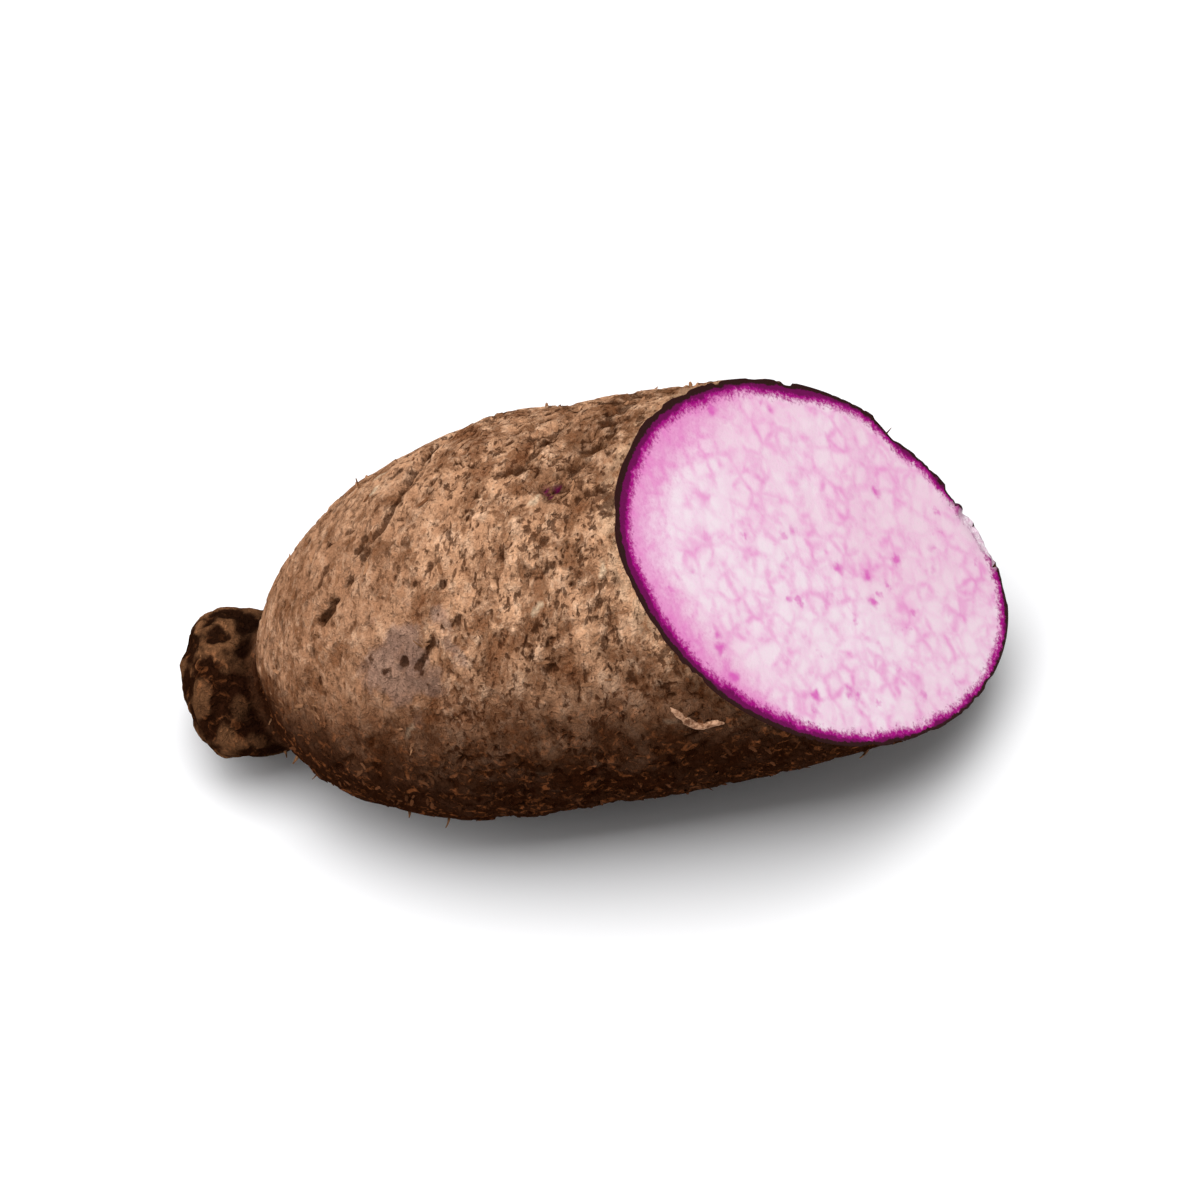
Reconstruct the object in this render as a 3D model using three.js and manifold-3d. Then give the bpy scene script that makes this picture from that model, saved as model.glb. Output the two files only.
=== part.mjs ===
// Half of a purple yam tuber, cut obliquely across and lying on its belly.
// Millimetres, +Z up. X runs from the knob of the old vine to the cut end.
// The origin is under the middle of the tuber, on the surface it rests on.

import * as THREE from 'three';
import { mergeVertices } from 'three/addons/utils/BufferGeometryUtils.js';
import Module from 'manifold-3d';

const wasm = await Module();
wasm.setup();

// ---- driving dimensions ----------------------------------------------------------

// The body is round in section. It closes in a blunt dome at the vine end and narrows
// slowly from its fattest station towards the tip that was cut away.
const BODY_RADIUS = 41.6;
const DOME_LENGTH = 57.7;
const DOME_POWER = 2.06;
const TAPER = 0.00073;
const UNCUT_LENGTH = 170;

// The centre line rises towards the cut, and the dome droops and leans at its pole.
const POLE_HEIGHT = 33.9;
const AXIS_SLOPE = 0.11;
const POLE_DROOP = 2.0;
const POLE_LEAN = 1.7;
const BEND_REACH = 30;

// The knife went through the centre line at this station, square to this direction.
const CUT_STATION = 117.8;
const CUT_NORMAL = new THREE.Vector3(0.62, -0.268, 0.737).normalize();

// The crease runs slantwise over the top of the dome, with a raised shoulder behind it.
const CREASE_STATION = 20;
const CREASE_TURN = 76;
const CREASE_SLANT = 0.43;
const CREASE_REACH = 38;
const CREASE_DEPTH = 1.5;
const CREASE_WIDTH = 3.4;
const SHOULDER_RISE = 1.1;
const SHOULDER_OFFSET = 8;
const SHOULDER_WIDTH = 8;

// Broad swells and hollows: station along the body, turn around it in degrees (0 faces
// -Y, 90 is the top, 270 the belly), reach along and around in mm, and rise in mm.
const SWELLS = [
  { name: 'belly', station: 92, turn: 270, along: 20, around: 26, rise: 4.0 },
  { name: 'top valley', station: 68, turn: 98, along: 9, around: 15, rise: -1.3 },
  { name: 'top hump', station: 50, turn: 82, along: 12, around: 12, rise: 0.8 },
  { name: 'end hollow', station: 15, turn: 50, along: 5, around: 9, rise: -1.1 },
  { name: 'front flank', station: 52, turn: 20, along: 20, around: 16, rise: 0.6 },
  { name: 'front dip', station: 78, turn: 48, along: 14, around: 12, rise: -0.7 },
  { name: 'back hump', station: 84, turn: 176, along: 22, around: 18, rise: 1.0 },
  { name: 'back dip', station: 44, turn: 196, along: 13, around: 14, rise: -1.2 },
  { name: 'under dip', station: 122, turn: 300, along: 14, around: 15, rise: -1.0 },
  { name: 'back shoulder', station: 38, turn: 138, along: 34, around: 20, rise: -1.9 },
  { name: 'tip side', station: 152, turn: 254, along: 12, around: 14, rise: 1.2 },
];

// The knob is the stub of the crown where the vine grew, low on the far side of the dome.
const KNOB_CENTRE = new THREE.Vector3(0, 5.8, 15.4);
const KNOB_WIDTH = 35;
const KNOB_HEIGHT = 28;
const KNOB_OUTLINE = [
  [0, -16.2], [0.35, -15.9], [0.66, -14.2], [0.88, -10.8], [1, -5.6],
  [0.97, -1], [0.85, 3.4], [0.79, 8], [0.62, 13], [0.3, 17], [0, 18.5],
];

const BODY_SIDES = 60;
const KNOB_SIDES = 28;
const KNOB_STEPS = 15;
const SKIN_COLOUR = '#a07c60';

// ---- outer form of the tuber -------------------------------------------------------

const radians = THREE.MathUtils.degToRad;

function bodyRadius(station) {
  if (station > DOME_LENGTH) {
    return BODY_RADIUS - TAPER * (station - DOME_LENGTH) ** 2;
  }
  const left = 1 - station / DOME_LENGTH;
  return BODY_RADIUS * Math.max(0, 1 - left ** DOME_POWER) ** (1 / DOME_POWER);
}

function axisPoint(station) {
  const bend = Math.exp(-((station / BEND_REACH) ** 2));
  const height = POLE_HEIGHT + AXIS_SLOPE * station - POLE_DROOP * bend;
  return new THREE.Vector3(station, -POLE_LEAN * bend, height);
}

// Smallest turn between two angles in degrees, from -180 to 180.
function turnBetween(turn, other) {
  return THREE.MathUtils.euclideanModulo(turn - other + 180, 360) - 180;
}

function creaseRelief(station, turn) {
  const offTurn = turnBetween(turn, CREASE_TURN + CREASE_REACH);
  const fade = Math.exp(-((offTurn / CREASE_REACH) ** 4));
  const past = station - CREASE_STATION - CREASE_SLANT * turnBetween(turn, CREASE_TURN);
  const groove = CREASE_DEPTH * Math.exp(-((past / CREASE_WIDTH) ** 2));
  const shoulder = SHOULDER_RISE * Math.exp(-(((past - SHOULDER_OFFSET) / SHOULDER_WIDTH) ** 2));
  return fade * (shoulder - groove);
}

function swellRelief(station, turn) {
  const reach = bodyRadius(station);
  return SWELLS.reduce((sum, swell) => {
    const along = (station - swell.station) / swell.along;
    const around = radians(turnBetween(turn, swell.turn)) * reach / swell.around;
    return sum + swell.rise * Math.exp(-(along ** 2) - around ** 2);
  }, 0);
}

// Relief fades out at the pole, where all turns meet in one point.
function relief(station, turn) {
  const open = Math.min(1, bodyRadius(station) / (0.4 * BODY_RADIUS));
  return open * (creaseRelief(station, turn) + swellRelief(station, turn));
}

// Stations crowd together at the pole of the dome and are even along the rest.
function bodyStations() {
  const domeSteps = 17;
  const bodySteps = 34;
  const stations = [];
  for (let i = 0; i <= domeSteps; i += 1) {
    stations.push(DOME_LENGTH * (1 - Math.cos((i / domeSteps) * Math.PI / 2)));
  }
  for (let i = 1; i <= bodySteps; i += 1) {
    stations.push(DOME_LENGTH + (i / bodySteps) * (UNCUT_LENGTH - DOME_LENGTH));
  }
  return stations;
}

// The body is turned as a straight blank about Y, then each of its points is moved out
// by the relief and set around the bent centre line.
function bodyGeometry() {
  const profile = bodyStations().map((s) => new THREE.Vector2(bodyRadius(s), s));
  profile[0].x = 0;
  profile.push(new THREE.Vector2(0, UNCUT_LENGTH));
  const geometry = new THREE.LatheGeometry(profile, BODY_SIDES);
  const points = geometry.attributes.position;
  for (let i = 0; i < points.count; i += 1) {
    const station = points.getY(i);
    const blankRadius = Math.hypot(points.getX(i), points.getZ(i));
    const angle = Math.atan2(points.getZ(i), points.getX(i));
    const onSkin = Math.min(1, blankRadius / (0.1 * BODY_RADIUS));
    const radius = blankRadius + onSkin * relief(station, THREE.MathUtils.radToDeg(angle));
    const centre = axisPoint(station);
    points.setXYZ(
      i,
      station,
      centre.y - radius * Math.cos(angle),
      centre.z + radius * Math.sin(angle),
    );
  }
  return geometry;
}

function knobGeometry() {
  const outline = KNOB_OUTLINE.map(([r, along]) => new THREE.Vector2(r, along));
  const profile = new THREE.SplineCurve(outline).getPoints(KNOB_STEPS);
  const geometry = new THREE.LatheGeometry(profile, KNOB_SIDES);
  const points = geometry.attributes.position;
  for (let i = 0; i < points.count; i += 1) {
    const angle = Math.atan2(points.getZ(i), points.getX(i));
    const radius = Math.hypot(points.getX(i), points.getZ(i));
    const lobes = 1 + 0.05 * Math.sin(3 * angle + 0.6) + 0.03 * Math.sin(5 * angle + 2);
    points.setXYZ(
      i,
      KNOB_CENTRE.x + points.getY(i),
      KNOB_CENTRE.y - radius * lobes * Math.cos(angle) * KNOB_WIDTH / 2,
      KNOB_CENTRE.z + radius * lobes * Math.sin(angle) * KNOB_HEIGHT / 2,
    );
  }
  return geometry;
}

// ---- joining and cutting -----------------------------------------------------------

function toSolid(geometry) {
  const bare = geometry.clone();
  bare.deleteAttribute('normal');
  bare.deleteAttribute('uv');
  const merged = mergeVertices(bare, 1e-4);
  return new wasm.Manifold(new wasm.Mesh({
    numProp: 3,
    vertProperties: new Float32Array(merged.attributes.position.array),
    triVerts: new Uint32Array(merged.index.array),
  }));
}

function toGeometry(solid) {
  const mesh = solid.getMesh();
  const geometry = new THREE.BufferGeometry();
  geometry.setAttribute('position', new THREE.BufferAttribute(mesh.vertProperties, 3));
  geometry.setIndex(new THREE.BufferAttribute(mesh.triVerts, 1));
  geometry.computeVertexNormals();
  return geometry;
}

const BLOCK_SIZE = 400;

// A block that starts at the point and fills the side that the direction faces.
function blockBeyond(point, direction) {
  const block = new THREE.BoxGeometry(BLOCK_SIZE, BLOCK_SIZE, BLOCK_SIZE);
  block.translate(0, 0, BLOCK_SIZE / 2);
  const up = new THREE.Vector3(0, 0, 1);
  block.applyQuaternion(new THREE.Quaternion().setFromUnitVectors(up, direction));
  block.translate(point.x, point.y, point.z);
  return toSolid(block);
}

function yamGeometry() {
  const knifeCut = blockBeyond(axisPoint(CUT_STATION), CUT_NORMAL);
  const ground = blockBeyond(new THREE.Vector3(0, 0, 0), new THREE.Vector3(0, 0, -1));
  const tuber = toSolid(bodyGeometry()).add(toSolid(knobGeometry()));
  const geometry = toGeometry(tuber.subtract(knifeCut).subtract(ground));
  geometry.computeBoundingBox();
  const middle = geometry.boundingBox.getCenter(new THREE.Vector3());
  return geometry.translate(-middle.x, -middle.y, 0);
}

const skin = new THREE.MeshStandardMaterial({
  color: SKIN_COLOUR,
  roughness: 0.9,
  metalness: 0,
});

const yam = new THREE.Mesh(yamGeometry(), skin);
yam.name = 'yam_half';

const group = new THREE.Group();
group.add(yam);

export default group;
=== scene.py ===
import math

import bpy
import numpy as np
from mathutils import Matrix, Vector


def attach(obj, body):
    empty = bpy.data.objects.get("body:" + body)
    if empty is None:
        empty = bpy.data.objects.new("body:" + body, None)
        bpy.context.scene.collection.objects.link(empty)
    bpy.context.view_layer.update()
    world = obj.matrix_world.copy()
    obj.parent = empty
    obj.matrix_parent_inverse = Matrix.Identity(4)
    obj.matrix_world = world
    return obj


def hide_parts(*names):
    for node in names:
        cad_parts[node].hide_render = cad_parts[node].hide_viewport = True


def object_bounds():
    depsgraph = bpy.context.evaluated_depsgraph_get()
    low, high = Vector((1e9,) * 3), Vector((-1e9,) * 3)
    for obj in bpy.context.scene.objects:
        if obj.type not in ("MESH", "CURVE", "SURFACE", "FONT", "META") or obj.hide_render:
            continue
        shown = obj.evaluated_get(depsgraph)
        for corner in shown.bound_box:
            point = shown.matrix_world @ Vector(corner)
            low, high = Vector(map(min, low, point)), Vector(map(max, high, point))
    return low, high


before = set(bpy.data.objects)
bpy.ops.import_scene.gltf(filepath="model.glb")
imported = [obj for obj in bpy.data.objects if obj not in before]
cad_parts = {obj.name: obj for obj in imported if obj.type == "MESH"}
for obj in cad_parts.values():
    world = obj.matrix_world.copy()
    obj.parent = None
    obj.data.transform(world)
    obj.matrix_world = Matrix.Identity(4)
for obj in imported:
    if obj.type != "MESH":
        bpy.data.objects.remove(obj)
cad_low, cad_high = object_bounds()

# ---- Table top, lights and camera ------------------------------------------------
# A wide pale table top, a large soft light overhead and a weaker one from the knob's
# side. The camera looks down on the tuber's front flank through a long lens.

TABLE_WIDTH = 8.0
CAMERA_TURN = math.radians(-6)
CAMERA_RISE = math.radians(50)
CAMERA_DISTANCE = 1.0
CAMERA_LENS = 148
AIM_HEIGHT = 0.50

studio = bpy.context.scene
studio.view_settings.view_transform = "Standard"
middle = (cad_low + cad_high) / 2
aim = Vector((middle.x, middle.y, cad_low.z + AIM_HEIGHT * (cad_high.z - cad_low.z)))


def studio_material(name, colour, roughness):
    material = bpy.data.materials.new(name)
    material.use_nodes = True
    shader = material.node_tree.nodes["Principled BSDF"]
    shader.inputs["Base Color"].default_value = (*colour, 1)
    shader.inputs["Roughness"].default_value = roughness
    return material


table_mesh = bpy.data.meshes.new("table_top")
half = TABLE_WIDTH / 2
table_mesh.from_pydata(
    [(-half, -half, 0), (half, -half, 0), (half, half, 0), (-half, half, 0)],
    [],
    [(0, 1, 2, 3)],
)
table_mesh.materials.append(studio_material("pale_table_top", (0.86, 0.86, 0.87), 0.6))
table_top = bpy.data.objects.new("table_top", table_mesh)
studio.collection.objects.link(table_top)


def window_light(name, place, width, power):
    light = bpy.data.lights.new(name, "AREA")
    light.size = width
    light.energy = power
    lamp = bpy.data.objects.new(name, light)
    lamp.location = place
    lamp.rotation_euler = (aim - Vector(place)).to_track_quat("-Z", "Y").to_euler()
    studio.collection.objects.link(lamp)


window_light("overhead_window", (-0.1, 0.0, 1.2), 1.1, 18)
window_light("left_window", (-0.9, -0.1, 0.7), 1.0, 6)

studio.world = bpy.data.worlds.new("studio")
studio.world.use_nodes = True
surround = studio.world.node_tree.nodes["Background"]
surround.inputs["Color"].default_value = (1.0, 1.0, 1.0, 1)
surround.inputs["Strength"].default_value = 0.28

camera_data = bpy.data.cameras.new("camera")
camera_data.lens = CAMERA_LENS
camera = bpy.data.objects.new("camera", camera_data)
back = Vector((
    math.sin(CAMERA_TURN) * math.cos(CAMERA_RISE),
    -math.cos(CAMERA_TURN) * math.cos(CAMERA_RISE),
    math.sin(CAMERA_RISE),
))
camera.location = aim + back * CAMERA_DISTANCE
camera.rotation_euler = (-back).to_track_quat("-Z", "Y").to_euler()
studio.collection.objects.link(camera)
studio.camera = camera

# ---- The tuber ---------------------------------------------------------------------
# One grown piece: starchy flesh under a thin corky skin, closed by a blunt dome with the
# woody knob of the old vine, and cut slantwise by one stroke of a knife. It lies loose on
# its belly, and nothing holds it.

# Sizes are in millimetres. A station is a distance along the tuber from the pole of its
# dome, and a turn goes round it in degrees: 0 faces the front, 90 the top, 270 the belly.
MM = 0.001

BODY_RADIUS = 41.6
DOME_LENGTH = 57.7
DOME_POWER = 2.06
TAPER = 0.00073
POLE_HEIGHT = 33.9
AXIS_SLOPE = 0.11
POLE_DROOP = 2.0
POLE_LEAN = 1.7
BEND_REACH = 30
CUT_STATION = 117.8
CUT_NORMAL = np.array([0.62, -0.268, 0.737])

CREASE_STATION = 20
CREASE_TURN = 76
CREASE_SLANT = 0.43
CREASE_REACH = 38
CREASE_DEPTH = 1.1
CREASE_WIDTH = 2.6
SHOULDER_RISE = 1.3
SHOULDER_OFFSET = 7
SHOULDER_WIDTH = 7

# Broad swells and hollows: station, turn, reach along, reach round and rise.
SWELLS = {
    "belly": (92, 270, 20, 26, 4.0),
    "top_valley": (68, 98, 9, 15, -1.3),
    "top_hump": (50, 82, 12, 12, 0.8),
    "end_hollow": (15, 50, 5, 9, -1.1),
    "front_flank": (52, 20, 20, 16, 0.6),
    "front_dip": (78, 48, 14, 12, -0.7),
    "back_hump": (84, 176, 22, 18, 1.0),
    "back_dip": (44, 196, 13, 14, -1.2),
    "under_dip": (122, 300, 14, 15, -1.0),
    "back_shoulder": (38, 138, 34, 20, -1.9),
    "tip_side": (152, 254, 12, 14, 1.2),
}

KNOB_CENTRE = np.array([0, 5.8, 15.4])
KNOB_WIDTH = 35
KNOB_HEIGHT = 28
KNOB_TIP = -16.2
KNOB_WIDEST = -5.6
KNOB_ROOT = 18.5
KNOB_TIP_POWER = 2.4
KNOB_ROOT_POWER = 1.9
NECK_FILLET = 3.0


def axis_point(station):
    bend = np.exp(-((station / BEND_REACH) ** 2))
    height = POLE_HEIGHT + AXIS_SLOPE * station - POLE_DROOP * bend
    return np.stack([station, -POLE_LEAN * bend, height], -1)


def turn_between(turn, other):
    return (turn - other + 180) % 360 - 180


def body_radius(station):
    left = np.clip(1 - station / DOME_LENGTH, 0, 1)
    dome = BODY_RADIUS * (1 - left**DOME_POWER) ** (1 / DOME_POWER)
    past = station - DOME_LENGTH
    return np.where(past > 0, BODY_RADIUS - TAPER * past**2, dome)


def broad_relief(station, turn):
    """Rise of the crease, its shoulder and the swells over the plain round body."""
    fade = np.exp(-((turn_between(turn, CREASE_TURN + CREASE_REACH) / CREASE_REACH) ** 4))
    past = station - CREASE_STATION - CREASE_SLANT * turn_between(turn, CREASE_TURN)
    groove = CREASE_DEPTH * np.exp(-((past / CREASE_WIDTH) ** 2))
    shoulder = SHOULDER_RISE * np.exp(-(((past - SHOULDER_OFFSET) / SHOULDER_WIDTH) ** 2))
    total = fade * (shoulder - groove)
    radius = body_radius(station)
    for swell_station, swell_turn, along, around, rise in SWELLS.values():
        arc = np.radians(turn_between(turn, swell_turn)) * radius / around
        total = total + rise * np.exp(-(((station - swell_station) / along) ** 2) - arc**2)
    return total * np.minimum(1, radius / (0.4 * BODY_RADIUS))


def station_and_turn(points):
    off = points - axis_point(points[..., 0])
    return points[..., 0], np.degrees(np.arctan2(off[..., 2], -off[..., 1]))


def body_gap(points):
    """How far points lie outside the body, in millimetres; negative inside."""
    station, turn = station_and_turn(points)
    off = points - axis_point(station)
    radial = np.maximum(0, np.hypot(off[..., 1], off[..., 2]) - broad_relief(station, turn))
    left = np.maximum(0, 1 - station / DOME_LENGTH)
    dome = left**DOME_POWER + (radial / BODY_RADIUS) ** DOME_POWER
    in_dome = BODY_RADIUS * (dome ** (1 / DOME_POWER) - 1)
    return np.where(station > DOME_LENGTH, radial - body_radius(station), in_dome)


def knob_gap(points):
    """How far points lie outside the knob: an oval bulb that narrows to its neck."""
    off = points - KNOB_CENTRE
    across, up = -off[..., 1] / (KNOB_WIDTH / 2), off[..., 2] / (KNOB_HEIGHT / 2)
    angle = np.arctan2(up, across)
    lobes = 1 + 0.05 * np.sin(3 * angle + 0.6) + 0.03 * np.sin(5 * angle + 2)
    past = off[..., 0] - KNOB_WIDEST
    to_tip = past < 0
    reach = np.where(to_tip, KNOB_WIDEST - KNOB_TIP, KNOB_ROOT - KNOB_WIDEST)
    power = np.where(to_tip, KNOB_TIP_POWER, KNOB_ROOT_POWER)
    outline = (1 - np.clip(np.abs(past) / reach, 0, 1) ** power) ** (1 / power)
    beyond = np.maximum(0, np.abs(past) - reach)
    return (np.hypot(across, up) / lobes - outline) * KNOB_HEIGHT / 2 + beyond


def tuber_gap(points):
    """The body and the knob as one form, with a soft fillet round the neck."""
    body, knob = body_gap(points), knob_gap(points)
    near = np.maximum(NECK_FILLET - np.abs(body - knob), 0) / NECK_FILLET
    return np.minimum(body, knob) - near**2 * NECK_FILLET / 4


# The skin is sliced by planes x - lean * y + rise * z = offset. They start square to the
# knob, tilt along the neck and end as the knife cut.
CUT_LEAN = -CUT_NORMAL[1] / CUT_NORMAL[0]
CUT_RISE = CUT_NORMAL[2] / CUT_NORMAL[0]
cut_point = axis_point(np.array(CUT_STATION))
cut_offset = cut_point[0] - CUT_LEAN * cut_point[1] + CUT_RISE * cut_point[2]
PLANE_STEPS = [0, 0.09, 0.17, 1]
PLANE_OFFSETS = [KNOB_TIP + 0.03, 2.2, 16.8, cut_offset]
PLANE_LEANS = [0, 0.1, 0.31, CUT_LEAN]
PLANE_RISES = [0, 0.2, 0.65, CUT_RISE]
LEAVE_KNOB, REACH_AXIS = 0.17, 0.6
RAY_LENGTH = 90
HALVINGS = 34
AXIS_ROUNDS = 8


def step_up(low, high, value):
    """0 below low, 1 above high and a smooth step between; low may be the larger."""
    part = np.clip((value - low) / (high - low), 0, 1)
    return part * part * (3 - 2 * part)


def sweep_rings(steps, sides):
    """A ring of points on the tuber's outer form for each step, and its plane's normal."""
    offset = np.interp(steps, PLANE_STEPS, PLANE_OFFSETS)
    lean = np.interp(steps, PLANE_STEPS, PLANE_LEANS)
    rise = np.interp(steps, PLANE_STEPS, PLANE_RISES)
    normal = np.stack([np.ones_like(lean), -lean, rise], -1)
    normal /= np.linalg.norm(normal, axis=-1, keepdims=True)
    in_knob = np.tile(KNOB_CENTRE, (len(steps), 1)).astype(float)
    in_knob[:, 0] = offset + lean * in_knob[:, 1] - rise * in_knob[:, 2]
    on_axis = axis_point(offset - rise * POLE_HEIGHT)
    for _ in range(AXIS_ROUNDS):
        on_axis = axis_point(offset + lean * on_axis[:, 1] - rise * on_axis[:, 2])
    shift = step_up(LEAVE_KNOB, REACH_AXIS, steps)[:, None]
    centre = in_knob + (on_axis - in_knob) * shift
    front = np.array([0.0, -1.0, 0.0]) + normal * normal[:, 1:2]
    front /= np.linalg.norm(front, axis=-1, keepdims=True)
    up = np.cross(front, normal)
    angle = np.linspace(0, 2 * np.pi, sides, endpoint=False)[None, :, None]
    ray = np.cos(angle) * front[:, None] + np.sin(angle) * up[:, None]
    near = np.zeros(ray.shape[:2])
    far = np.full(ray.shape[:2], float(RAY_LENGTH))
    for _ in range(HALVINGS):
        half_way = (near + far) / 2
        inside = tuber_gap(centre[:, None] + ray * half_way[..., None]) < 0
        near = np.where(inside, half_way, near)
        far = np.where(inside, far, half_way)
    return centre[:, None] + ray * near[..., None], normal[:, None]


SIDES = 392
SKIN_RINGS = 226
TRIAL_RINGS = 700
TRIAL_SIDES = 48
RIM_GAP = 0.3

trial_steps = np.linspace(0, 1, TRIAL_RINGS)
trial_gaps = np.diff(sweep_rings(trial_steps, TRIAL_SIDES)[0], axis=0)
trial_gaps = np.linalg.norm(trial_gaps, axis=-1).mean(axis=1)
trial_length = np.concatenate([[0], np.cumsum(trial_gaps)])
even = np.linspace(0, trial_length[-1], SKIN_RINGS)
skin_steps = np.interp(even, trial_length, trial_steps)
skin_steps[-1] = 1 - RIM_GAP / trial_gaps[-1] / TRIAL_RINGS
form, ring_normal = sweep_rings(np.append(skin_steps, 1), SIDES)
station, turn = station_and_turn(form)


def scramble(cells, seed):
    """A fixed random number of 32 bits for each cell of space."""
    bits = cells[..., 0] * 73856093 ^ cells[..., 1] * 19349663 ^ cells[..., 2] * 83492791
    bits = (bits ^ (seed * 40503)) & 0xFFFFFFFF
    for _ in range(2):
        bits = ((bits ^ (bits >> 15)) * 1103515245 + 12345) & 0xFFFFFFFF
    return bits ^ (bits >> 13)


def thirds(bits):
    """Three numbers from 0 to 1 out of each random number."""
    return np.stack([((bits >> shift) & 1023) / 1023 for shift in (0, 10, 20)], -1)


def noise(points, seed):
    """Smooth noise from about -1 to 1; points are given in cells of the noise."""
    cell = np.floor(points).astype(np.int64)
    part = points - cell
    fade = part**3 * (part * (part * 6 - 15) + 10)
    total = np.zeros(points.shape[:-1])
    for corner in np.ndindex(2, 2, 2):
        slopes = thirds(scramble(cell + np.array(corner), seed)) * 2 - 1
        weight = np.prod(np.where(corner, fade, 1 - fade), axis=-1)
        total += (slopes * (part - corner)).sum(axis=-1) * weight
    return total * 1.3


def nearest_seed(points, seed):
    """Distance to the nearest seed, one in each cell, and a random number of that seed."""
    cell = np.floor(points).astype(np.int64)
    nearest = np.full(points.shape[:-1], 9.0)
    pick = np.zeros(points.shape[:-1])
    for step in np.ndindex(3, 3, 3):
        around = cell + np.array(step) - 1
        away = np.linalg.norm(around + thirds(scramble(around, seed)) - points, axis=-1)
        pick = np.where(away < nearest, thirds(scramble(around, seed + 7))[..., 0], pick)
        nearest = np.minimum(nearest, away)
    return nearest, pick


# The skin's grain runs round the tuber in slanting hoops, so fine marks are longer that
# way. Lengths over the skin are measured along the body's profile and along its rings.
GRAIN_NORMAL = Vector((1.0, -0.5, 0.35)).normalized()
grain_turn = GRAIN_NORMAL.to_track_quat("X", "Z").to_euler()
grain_axes = np.array(grain_turn.to_matrix())
PROFILE_LENGTH, PROFILE_STEPS = 180.0, 1200
LEAST_GIRTH_RADIUS = 6
profile = np.linspace(0.0, PROFILE_LENGTH, PROFILE_STEPS)
profile_steps = np.hypot(np.diff(profile), np.diff(body_radius(profile)))
profile_length = np.concatenate([[0], np.cumsum(profile_steps)])


def along_grain(across, along):
    """The skin's points in cells that are longer along the grain, for noise."""
    return form @ grain_axes / np.array([across, along, along])


def skin_length(of_station):
    return np.interp(of_station, profile, profile_length)


def away_from(path):
    """Millimetres over the skin from each of its points to a path of (station, turn)."""
    arc = np.radians(np.maximum(body_radius(station), LEAST_GIRTH_RADIUS))
    nearest = np.full(station.shape, 99.0)
    for (station_a, turn_a), (station_b, turn_b) in zip(path, path[1:]):
        x = skin_length(station) - skin_length(station_a)
        y = turn_between(turn, turn_a) * arc
        end_x = skin_length(station_b) - skin_length(station_a)
        end_y = turn_between(turn_b, turn_a) * arc
        part = np.clip((x * end_x + y * end_y) / (end_x**2 + end_y**2), 0, 1)
        nearest = np.minimum(nearest, np.hypot(x - part * end_x, y - part * end_y))
    return nearest


# Old marks of growth. The crease and the valley slant round the top beside each other, and
# the valley has a low ledge along its upper side. The rest lie all over the skin, placed
# by a fixed seed: ledges along the tuber, slits round it with the crease's slant, and
# short hollows. One sunken eye, where a root grew, is on the front of the dome. Each mark
# has a half width, a depth, how dark it is, and a path.
MARK_SEED, MARK_COUNT = 7, 200
MARK_LEAST, MARK_MOST = (0.45, 0.4, 0.5), (1.2, 0.9, 1.0)
MARK_LENGTHS = (1.0, 7.5)
MARK_HEADINGS, HEADING_SPREAD = (0, 60), 16
VALLEY_LEDGE_BACK = 11
LINE_WAVE, LINE_WAVE_TURN, LINE_POINTS = 1.2, 9, 12
EYE_STATION, EYE_TURN = DOME_LENGTH / 2, 42


def slanting_line(middle_station, middle_turn, first, last):
    """A path that slants round the tuber as the crease does, through the given place."""
    past = np.linspace(first, last, LINE_POINTS)
    stations = middle_station + CREASE_SLANT * past + LINE_WAVE * np.sin(past / LINE_WAVE_TURN)
    return list(zip(stations, middle_turn + past))


valley_station, valley_turn = SWELLS["top_valley"][:2]
crease_line = slanting_line(CREASE_STATION, CREASE_TURN, -12, 52)
valley_line = slanting_line(valley_station, valley_turn, -14, 34)
ledge_line = slanting_line(valley_station - VALLEY_LEDGE_BACK, valley_turn, -6, 26)
growth_marks = [
    (1.1, 1.3, 0.95, crease_line),
    (3.4, 1.1, 0.6, valley_line),
    (0.8, 0.9, 0.8, ledge_line),
    (1.1, 0.9, 1.1, [(EYE_STATION, EYE_TURN), (EYE_STATION, EYE_TURN + 1)]),
]
on_knob = step_up(0.2, 2.0, body_gap(form))
mark_draw = np.random.default_rng(MARK_SEED)
skin_share = (body_radius(station) * (on_knob < 0.5)).ravel()
skin_share /= skin_share.sum()


def drawn_path(length, headings):
    """A bent path of two steps from a random place on the body's skin."""
    spot = mark_draw.choice(skin_share.size, p=skin_share)
    at_station, at_turn = station.flat[spot], turn.flat[spot]
    path = [(at_station, at_turn)]
    per_degree = np.radians(max(body_radius(at_station), LEAST_GIRTH_RADIUS))
    for heading in np.radians(headings):
        at_station = at_station + length / 2 * np.cos(heading)
        at_turn = at_turn + length / 2 * np.sin(heading) / per_degree
        path.append((at_station, at_turn))
    return path


for _ in range(MARK_COUNT):
    sizes = mark_draw.uniform(MARK_LEAST, MARK_MOST)
    headings = mark_draw.choice(MARK_HEADINGS) + mark_draw.normal(0, HEADING_SPREAD, 2)
    growth_marks.append((*sizes, drawn_path(mark_draw.uniform(*MARK_LENGTHS), headings)))

wander = 0.6 * noise(form / 2.4, 51) + 0.5 * noise(form / 1.3, 52)
patchy = np.clip(0.8 + 1.2 * noise(form / 2.8, 53), 0.15, 1.3)
mark_depth, mark_stain = np.zeros(station.shape), np.zeros(station.shape)
for half_width, depth, stain, path in growth_marks:
    away = away_from(path) / half_width + wander / half_width**0.5
    mark_depth = np.maximum(mark_depth, depth * patchy * step_up(1.5, 0.2, away))
    mark_stain = np.maximum(mark_stain, stain * patchy * step_up(1.7, 0.3, away))

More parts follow.
